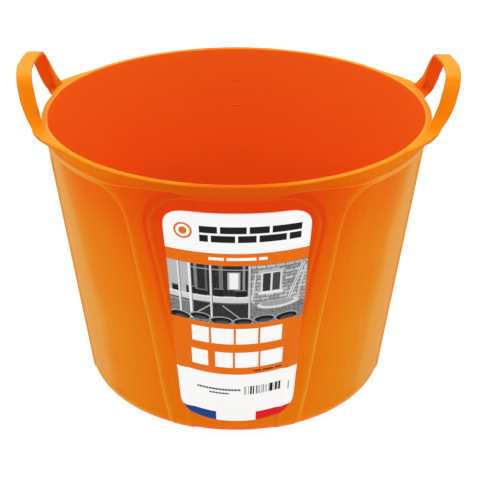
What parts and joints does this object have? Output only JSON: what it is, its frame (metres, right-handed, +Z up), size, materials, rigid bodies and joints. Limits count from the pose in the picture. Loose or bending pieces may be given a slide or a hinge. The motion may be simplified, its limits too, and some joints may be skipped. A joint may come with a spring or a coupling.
{
  "type": "mortar mixing tub",
  "caption": "Round tapered flexible tub for mixing and carrying mortar, with recessed wall panels, a rim band, flat strap handles standing on the rim and a printed film label.",
  "frame": {"origin": "on the ground at the middle of the base", "axes": "+Z up, the label faces -Y, the handles stand on the rim at -X and +X"},
  "size_m": [0.4964, 0.45, 0.3962],
  "materials": {
    "tub_plastic": "satin moulded polyethylene",
    "label_film": "smooth printed film"
  },
  "bodies": {
    "tub": {"tub_body": "tub_plastic", "front_label": "label_film"},
    "left_handle": {"left_handle": "tub_plastic"},
    "right_handle": {"right_handle": "tub_plastic"}
  },
  "joints": [
    {"name": "left_handle_fold", "type": "hinge", "parent": "tub", "child": "left_handle", "pos_m": [-0.2246, 0, 0.346], "axis": [0, 1, 0], "range_deg": [-55, 75]},
    {"name": "right_handle_fold", "type": "hinge", "parent": "tub", "child": "right_handle", "pos_m": [0.2246, 0, 0.346], "axis": [0, -1, 0], "range_deg": [-55, 75]}
  ]
}
